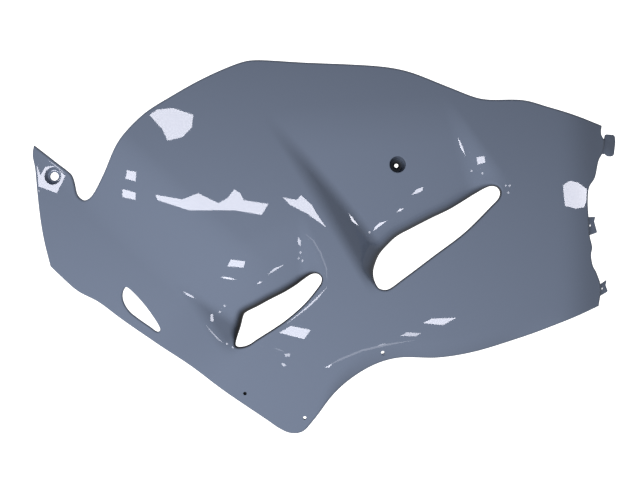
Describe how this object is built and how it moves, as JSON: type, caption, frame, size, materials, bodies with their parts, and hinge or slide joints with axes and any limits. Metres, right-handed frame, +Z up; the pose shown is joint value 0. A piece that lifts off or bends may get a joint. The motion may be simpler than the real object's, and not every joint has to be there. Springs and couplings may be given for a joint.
{
  "type": "motorcycle fairing side panel",
  "caption": "Painted plastic side panel of a motorcycle fairing, a crowned thin shell with slanted air vents in scoops, sunk bolt cups and tabs on its front edge.",
  "frame": {"origin": "centre of the rear fixing hole at the floor of its cup", "axes": "+X forward along the panel towards the edge with the tabs, -Y out of the painted face, +Z up, as the panel is seen upright from beside the machine"},
  "size_m": [0.94, 0.1107, 0.587],
  "materials": {
    "paint": "glossy slate blue-grey paint over moulded plastic, smooth all over"
  },
  "bodies": {
    "root": {"fairing_panel": "paint"}
  },
  "joints": []
}
